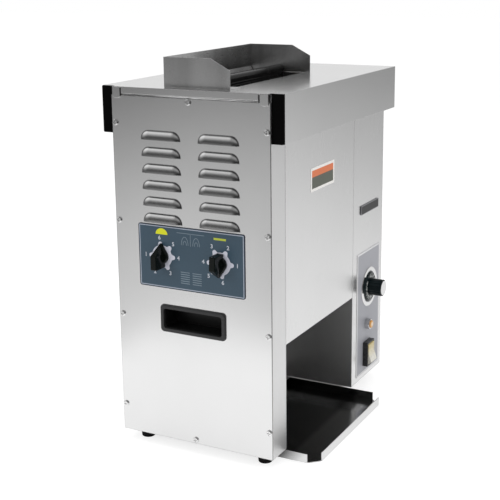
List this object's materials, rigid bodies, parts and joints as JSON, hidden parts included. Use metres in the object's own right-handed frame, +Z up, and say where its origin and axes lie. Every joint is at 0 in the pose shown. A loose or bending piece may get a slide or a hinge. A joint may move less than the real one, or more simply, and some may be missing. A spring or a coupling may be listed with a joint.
{
  "type": "conveyor toaster",
  "caption": "Upright conveyor toaster in stainless sheet: hooded top feed slots, heated platen between belts, front compression knobs, side controls, chute and landing tray.",
  "frame": {"origin": "on the counter, under the middle of the overall box", "axes": "+Z up, -Y towards the front panel, +X towards the open side where the tray comes out"},
  "size_m": [0.3348, 0.4766, 0.608],
  "materials": {
    "front_steel": "brushed stainless, vertical grain",
    "side_steel": "brushed stainless, satin",
    "hood_steel": "brushed stainless, bright satin",
    "feeder_steel": "polished stainless",
    "inner_steel": "plain stainless",
    "chute_steel": "polished stainless",
    "tray_steel": "polished stainless",
    "screw_steel": "bright zinc or stainless",
    "shaft_steel": "turned steel",
    "handle_plastic": "moulded black, light texture",
    "knob_plastic": "moulded black, glossy",
    "dial_plastic": "moulded black with white graduations",
    "knob_plate_print": "slate blue printed plate",
    "label_print": "cool grey printed plate",
    "bright_trim": "satin chrome",
    "lamp_amber": "translucent amber",
    "switch_black": "moulded black",
    "rocker_cream": "translucent cream",
    "badge_black": "black plate with a bright edge, no marking",
    "sticker_print": "printed vinyl, no wording",
    "foot_rubber": "black rubber",
    "belt_rubber": "woven heat-proof belt",
    "roller_aluminium": "turned",
    "platen_aluminium": "cast plate, heat stained",
    "release_fabric": "coated glass cloth",
    "divider_black": "black non-stick coating",
    "element_sheath": "oxidised sheath",
    "bush_brass": "sintered bronze",
    "gear_steel": "cut steel",
    "motor_paint": "black enamel",
    "housing_black": "moulded black"
  },
  "bodies": {
    "chassis": {"front_panel": "front_steel", "front_housing": "front_steel", "right_side_cover": "side_steel", "left_side_cover": "side_steel", "control_housing": "side_steel", "rear_panel": "side_steel", "hood": "hood_steel", "front_end_plate": "inner_steel", "rear_end_plate": "inner_steel", "tie_bars": "inner_steel", "base_rail": "inner_steel", "left_heat_shield": "inner_steel", "right_heat_shield": "inner_steel", "motor_bracket": "inner_steel", "bun_chute": "chute_steel", "front_panel_screws": "screw_steel", "rear_panel_screws": "screw_steel", "foot_nuts": "screw_steel", "platen_end_bars": "shaft_steel", "recessed_handle": "handle_plastic", "hood_end_caps": "handle_plastic", "knob_plate": "knob_plate_print", "control_label_plate": "label_print", "dial_ring": "bright_trim", "lamp_body": "bright_trim", "lamp_lens": "lamp_amber", "switch_body": "switch_black", "side_badge": "badge_black", "side_sticker": "sticker_print", "rubber_feet": "foot_rubber", "crown_belt": "belt_rubber", "heel_belt": "belt_rubber", "platen_faces": "platen_aluminium", "release_sheet": "release_fabric", "slot_divider": "divider_black", "heating_element": "element_sheath", "shaft_bushes": "bush_brass", "gear_motor": "motor_paint", "thermostat_body": "housing_black", "fan_frame": "housing_black", "cable_gland": "housing_black"},
    "crown_dial": {"crown_knob": "knob_plastic", "crown_cam_shaft": "shaft_steel"},
    "heel_dial": {"heel_knob": "knob_plastic", "heel_cam_shaft": "shaft_steel"},
    "crown_plate": {"crown_compression_plate": "inner_steel"},
    "heel_plate": {"heel_compression_plate": "inner_steel"},
    "crown_drive": {"crown_drive_roller": "roller_aluminium", "crown_drive_gear": "gear_steel"},
    "heel_drive": {"heel_drive_roller": "roller_aluminium", "heel_drive_gear": "gear_steel"},
    "crown_idler": {"crown_idler_roller": "roller_aluminium"},
    "heel_idler": {"heel_idler_roller": "roller_aluminium"},
    "pinion": {"motor_pinion": "gear_steel"},
    "fan": {"fan_rotor": "housing_black"},
    "thermostat_dial": {"thermostat_knob": "dial_plastic", "thermostat_knob_cap": "bright_trim"},
    "rocker": {"switch_rocker": "rocker_cream"},
    "tray": {"landing_tray": "tray_steel"},
    "feeder": {"bun_feeder": "feeder_steel"}
  },
  "joints": [
    {"name": "crown_dial_turn", "type": "hinge", "parent": "chassis", "child": "crown_dial", "pos_m": [-0.0669, -0.2117, 0.3116], "axis": [0, 1, 0], "range_deg": [0, 270]},
    {"name": "heel_dial_turn", "type": "hinge", "parent": "chassis", "child": "heel_dial", "pos_m": [0.0331, -0.2117, 0.3116], "axis": [0, 1, 0], "range_deg": [0, 270]},
    {"name": "crown_plate_slide", "type": "slide", "parent": "chassis", "child": "crown_plate", "axis": [-1, 0, 0], "range_m": [0, 0.01]},
    {"name": "heel_plate_slide", "type": "slide", "parent": "chassis", "child": "heel_plate", "axis": [1, 0, 0], "range_m": [0, 0.01]},
    {"name": "crown_drive_spin", "type": "hinge", "parent": "chassis", "child": "crown_drive", "pos_m": [-0.0669, -0.0377, 0.212], "axis": [0, 1, 0], "continuous": true},
    {"name": "heel_drive_spin", "type": "hinge", "parent": "chassis", "child": "heel_drive", "pos_m": [0.0331, -0.0377, 0.212], "axis": [0, 1, 0], "continuous": true},
    {"name": "crown_idler_spin", "type": "hinge", "parent": "chassis", "child": "crown_idler", "pos_m": [-0.0669, -0.0377, 0.515], "axis": [0, 1, 0], "continuous": true},
    {"name": "heel_idler_spin", "type": "hinge", "parent": "chassis", "child": "heel_idler", "pos_m": [0.0331, -0.0377, 0.515], "axis": [0, 1, 0], "continuous": true},
    {"name": "pinion_spin", "type": "hinge", "parent": "chassis", "child": "pinion", "pos_m": [-0.1019, 0.0946, 0.15138], "axis": [0, 1, 0], "continuous": true},
    {"name": "fan_spin", "type": "hinge", "parent": "chassis", "child": "fan", "pos_m": [0.0316, 0.2231, 0.43], "axis": [0, 1, 0], "continuous": true},
    {"name": "thermostat_turn", "type": "hinge", "parent": "chassis", "child": "thermostat_dial", "pos_m": [0.1166, 0.1638, 0.1855], "axis": [-1, 0, 0], "range_deg": [0, 300]},
    {"name": "rocker_tilt", "type": "hinge", "parent": "chassis", "child": "rocker", "pos_m": [0.1196, 0.1548, 0.067], "axis": [0, 1, 0], "range_deg": [0, 20]},
    {"name": "tray_pull", "type": "slide", "parent": "chassis", "child": "tray", "axis": [1, 0, 0], "range_m": [0, 0.3]},
    {"name": "feeder_lift", "type": "slide", "parent": "chassis", "child": "feeder", "axis": [0, 0, 1], "range_m": [0, 0.06]}
  ],
  "couplings": [
    {"joint": "crown_dial_turn", "follows": "crown_plate_slide", "rad_per_m": 471.2},
    {"joint": "heel_dial_turn", "follows": "heel_plate_slide", "rad_per_m": 471.2},
    {"joint": "heel_drive_spin", "follows": "crown_drive_spin", "ratio": -1},
    {"joint": "crown_idler_spin", "follows": "crown_drive_spin", "ratio": 1},
    {"joint": "heel_idler_spin", "follows": "crown_drive_spin", "ratio": -1},
    {"joint": "pinion_spin", "follows": "crown_drive_spin", "ratio": -2.5}
  ]
}
